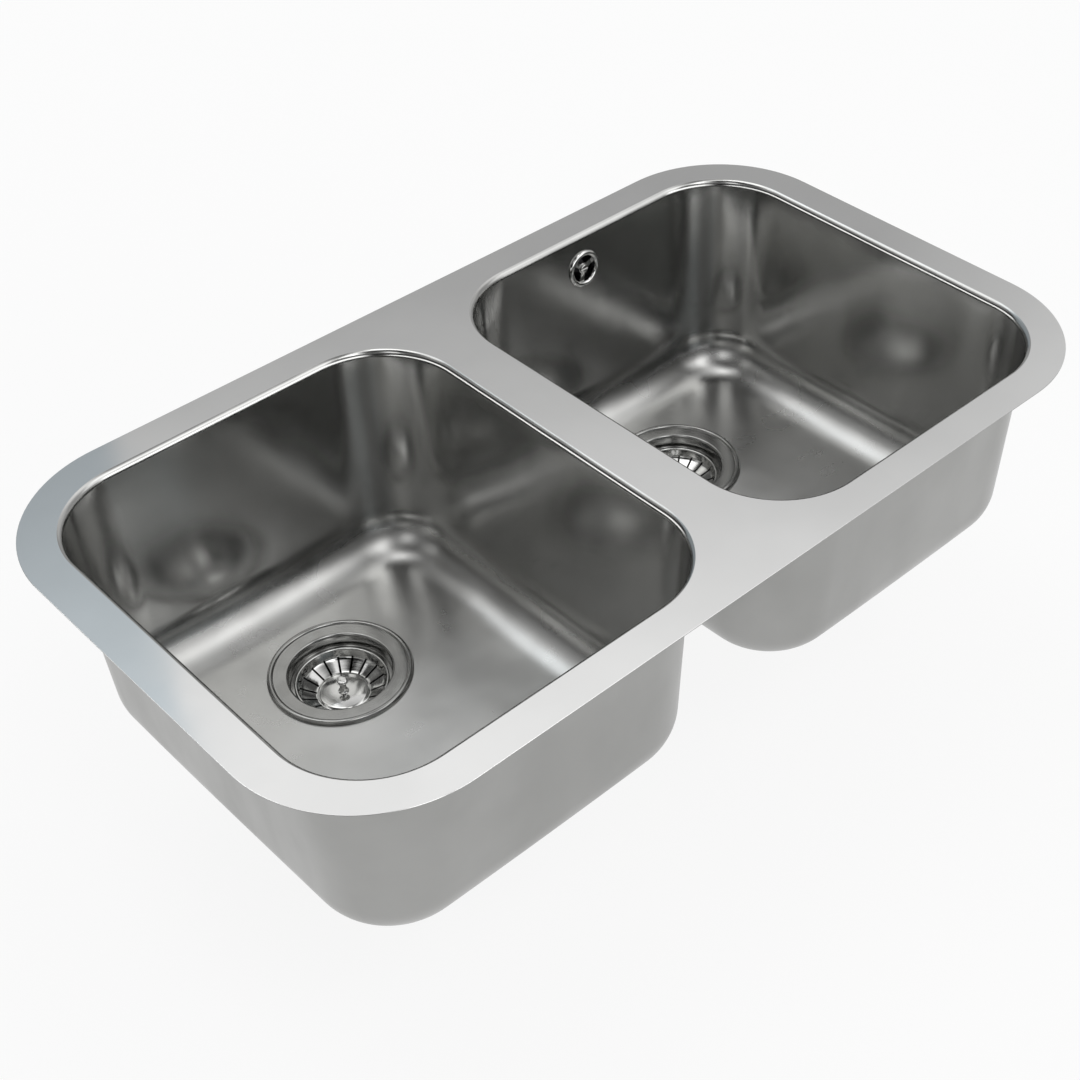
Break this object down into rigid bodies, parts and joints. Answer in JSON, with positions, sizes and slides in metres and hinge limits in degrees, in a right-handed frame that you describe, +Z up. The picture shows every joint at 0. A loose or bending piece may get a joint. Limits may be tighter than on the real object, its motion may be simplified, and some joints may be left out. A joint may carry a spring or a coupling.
{
  "type": "kitchen sink",
  "caption": "Undermount stainless kitchen sink: a flat rim with two deep rounded bowls side by side, each with a lift-out basket strainer and a waste body, and an overflow behind one bowl.",
  "frame": {"origin": "centre of the rim's flat top face, in the plane that seats against the worktop's underside; the whole sink hangs below it", "axes": "+X along the sink's length towards the bowl with the overflow, +Y to the back, where the drains lie nearer, +Z up"},
  "size_m": [0.785, 0.452, 0.292],
  "materials": {
    "sheet_steel": "satin brushed stainless sheet",
    "polished_steel": "polished stainless steel",
    "black_rubber": "matt moulded rubber",
    "black_plastic": "moulded polypropylene, lightly textured",
    "brass_bush": "turned brass"
  },
  "bodies": {
    "root": {"rim_plate": "sheet_steel", "left_bowl": "sheet_steel", "right_bowl": "sheet_steel", "left_strainer_flange": "polished_steel", "left_flange_seal": "black_rubber", "left_body_seal": "black_rubber", "left_waste_body": "black_plastic", "left_centre_screw": "polished_steel", "left_screw_insert": "brass_bush", "right_strainer_flange": "polished_steel", "right_flange_seal": "black_rubber", "right_body_seal": "black_rubber", "right_waste_body": "black_plastic", "right_centre_screw": "polished_steel", "right_screw_insert": "brass_bush", "overflow_grille": "polished_steel", "overflow_screw": "polished_steel", "overflow_seal": "black_rubber", "overflow_housing": "black_plastic", "overflow_top_nut": "black_plastic", "overflow_pipe": "black_plastic", "overflow_bottom_nut": "black_plastic"},
    "left_basket_unit": {"left_basket": "polished_steel", "left_basket_knob": "polished_steel", "left_stopper_seal": "black_rubber", "left_stopper_nut": "polished_steel"},
    "right_basket_unit": {"right_basket": "polished_steel", "right_basket_knob": "polished_steel", "right_stopper_seal": "black_rubber", "right_stopper_nut": "polished_steel"}
  },
  "joints": [
    {"name": "left_basket_lift", "type": "slide", "parent": "root", "child": "left_basket_unit", "axis": [0, 0, 1], "range_m": [0, 0.25]},
    {"name": "right_basket_lift", "type": "slide", "parent": "root", "child": "right_basket_unit", "axis": [0, 0, 1], "range_m": [0, 0.25]}
  ]
}
